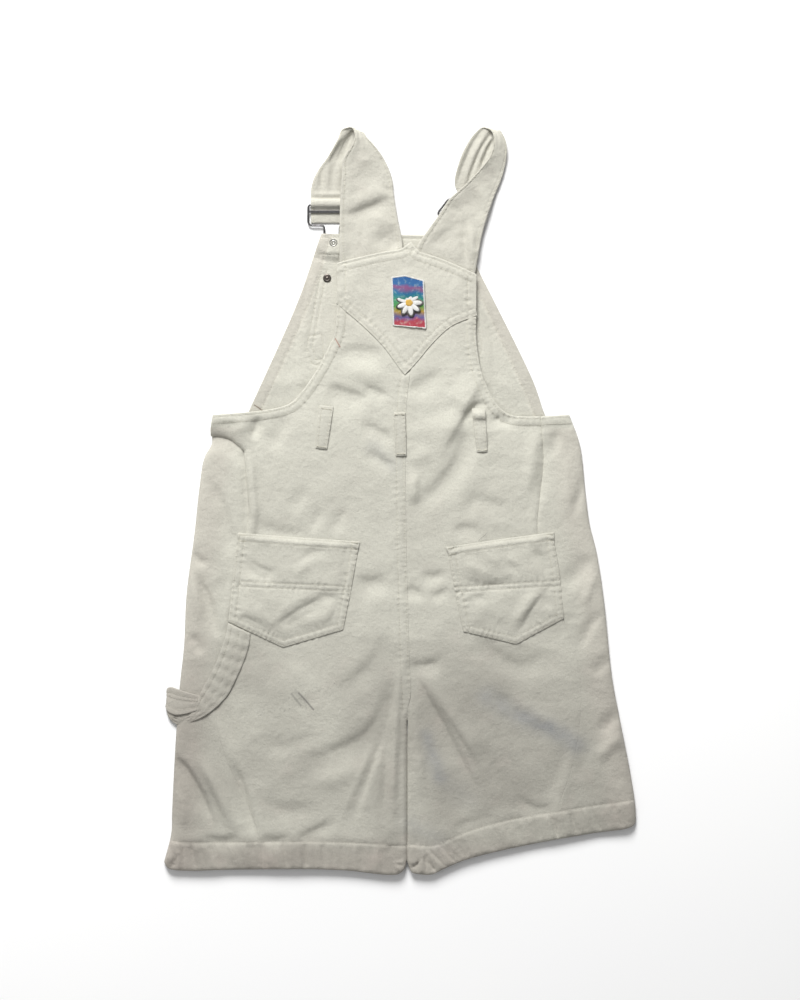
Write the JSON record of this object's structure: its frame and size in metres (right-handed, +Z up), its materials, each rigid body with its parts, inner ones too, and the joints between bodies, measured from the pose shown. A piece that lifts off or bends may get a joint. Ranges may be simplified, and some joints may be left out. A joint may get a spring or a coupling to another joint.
{
  "type": "short bib overalls laid flat face down",
  "caption": "Short bib overalls in worn off-white cotton twill, laid flat with the back uppermost: crossed straps, yoke, patch pockets, hammer loop and wire buckles.",
  "frame": {"origin": "middle of the whole garment's footprint, on the surface that it lies on", "axes": "+X across the garment to the wearer's right, +Y from the hems to the straps, +Z up out of the back"},
  "size_m": [0.588, 0.9342, 0.0109],
  "materials": {
    "twill": "worn off-white cotton twill with scuffs and faint blue-grey smudges",
    "patch": null,
    "steel": "darkened, rubbed wire",
    "nickel": "dull nickel, scratched",
    "bronze": "dark bronze, rubbed"
  },
  "bodies": {
    "root": {"front_left": "twill", "front_right": "twill", "bib": "twill", "bib_pocket": "twill", "back_left": "twill", "back_right": "twill", "back_yoke": "twill", "pocket_back_left": "twill", "pocket_back_right": "twill", "hammer_loop": "twill", "belt_loop_left": "twill", "belt_loop_center": "twill", "belt_loop_right": "twill", "strap_left": "twill", "strap_right": "twill", "patch": "patch", "buckle_left": "steel", "buckle_right": "steel", "bib_button_left": "nickel", "bib_button_right": "nickel", "bib_rivet_left": "bronze", "bib_rivet_right": "bronze"}
  },
  "joints": []
}
